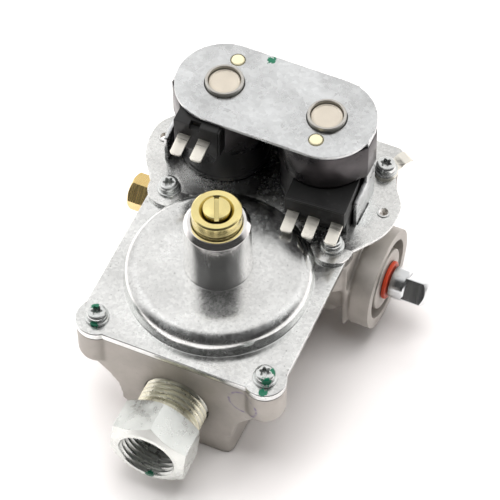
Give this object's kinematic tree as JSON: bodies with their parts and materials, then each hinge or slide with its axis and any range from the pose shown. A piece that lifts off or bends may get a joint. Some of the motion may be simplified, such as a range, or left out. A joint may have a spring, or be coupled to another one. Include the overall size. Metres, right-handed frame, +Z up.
{
  "type": "gas valve",
  "caption": "Two-solenoid gas valve with a spring-loaded pressure regulator, a manual plug shut-off, a threaded hex inlet and a brass orifice outlet.",
  "frame": {"origin": "on the regulator's axis, on the underside of the casting", "axes": "+Z up along the regulator's axis, -Y out of the inlet fitting's mouth, +X along the shut-off stem, away from the brass orifice fitting"},
  "size_m": [0.1054, 0.1259, 0.0816],
  "materials": {
    "cast_aluminium": "fine shot-blasted die casting",
    "galvanised_sheet": "galvanised sheet with a faint spangle",
    "plated_steel": "satin plated sheet and tube",
    "turned_steel": "turned, satin",
    "spring_steel": "bright drawn wire",
    "zinc_plate": "bright zinc plate",
    "brass": "bright machined",
    "tinned_brass": "stamped, thinly tinned",
    "black_resin": "satin moulded",
    "cream_nylon": "moulded",
    "black_rubber": "moulded sheet",
    "red_rubber": "moulded",
    "gasket_sheet": "pressed fibre and nitrile"
  },
  "bodies": {
    "valve": {"valve_body": "cast_aluminium", "regulator_cover": "galvanised_sheet", "coil_plate": "galvanised_sheet", "yoke_bracket": "plated_steel", "guide_tube_left": "plated_steel", "guide_tube_right": "plated_steel", "shutoff_bonnet": "plated_steel", "regulator_tower": "turned_steel", "fixed_core_left": "turned_steel", "fixed_core_right": "turned_steel", "regulator_spring": "spring_steel", "plunger_spring_left": "spring_steel", "plunger_spring_right": "spring_steel", "inlet_fitting": "zinc_plate", "cover_screw_left": "zinc_plate", "cover_screw_right": "zinc_plate", "shared_screw_left": "zinc_plate", "shared_screw_right": "zinc_plate", "coil_plate_screw_left": "zinc_plate", "coil_plate_screw_right": "zinc_plate", "rear_screw_washer": "zinc_plate", "tower_cap": "brass", "orifice_fitting": "brass", "regulator_seat": "brass", "terminal_left_1": "tinned_brass", "terminal_left_2": "tinned_brass", "terminal_right_1": "tinned_brass", "terminal_right_2": "tinned_brass", "terminal_right_3": "tinned_brass", "earth_tab": "tinned_brass", "coil_left": "black_resin", "coil_right": "black_resin", "terminal_housing_left": "black_resin", "terminal_housing_right": "black_resin", "bobbin_left": "cream_nylon", "bobbin_right": "cream_nylon", "diaphragm": "black_rubber", "tube_o_ring_left": "black_rubber", "tube_o_ring_right": "black_rubber", "red_washer": "red_rubber", "coil_plate_gasket": "gasket_sheet"},
    "regulator_poppet": {"diaphragm_plate": "plated_steel", "regulator_poppet": "brass"},
    "spring_seat": {"spring_seat": "plated_steel"},
    "adjusting_screw": {"adjusting_screw": "brass"},
    "plunger_left": {"plunger_left": "turned_steel", "valve_disc_left": "black_rubber"},
    "plunger_right": {"plunger_right": "turned_steel", "valve_disc_right": "black_rubber"},
    "shutoff": {"shutoff_plug": "brass", "shutoff_stem": "zinc_plate", "stem_o_ring": "black_rubber"}
  },
  "joints": [
    {"name": "poppet_slide", "type": "slide", "parent": "valve", "child": "regulator_poppet", "axis": [0, 0, 1], "range_m": [-0.0008, 0.001]},
    {"name": "spring_seat_slide", "type": "slide", "parent": "valve", "child": "spring_seat", "axis": [0, 0, 1], "range_m": [-0.002, 0.002], "deforming": ["regulator_spring"]},
    {"name": "adjuster_turn", "type": "hinge", "parent": "spring_seat", "child": "adjusting_screw", "pos_m": [0, 0, 0.0685], "axis": [0, 0, 1], "range_deg": [-720, 720]},
    {"name": "plunger_left_slide", "type": "slide", "parent": "valve", "child": "plunger_left", "axis": [0, 0, 1], "range_m": [0, 0.0025], "deforming": ["plunger_spring_left"]},
    {"name": "plunger_right_slide", "type": "slide", "parent": "valve", "child": "plunger_right", "axis": [0, 0, 1], "range_m": [0, 0.0025], "deforming": ["plunger_spring_right"]},
    {"name": "shutoff_turn", "type": "hinge", "parent": "valve", "child": "shutoff", "pos_m": [0, 0.0359, 0.0205], "axis": [1, 0, 0], "range_deg": [0, 90]}
  ],
  "couplings": [
    {"joint": "adjuster_turn", "follows": "spring_seat_slide", "rad_per_m": 6283.2}
  ]
}
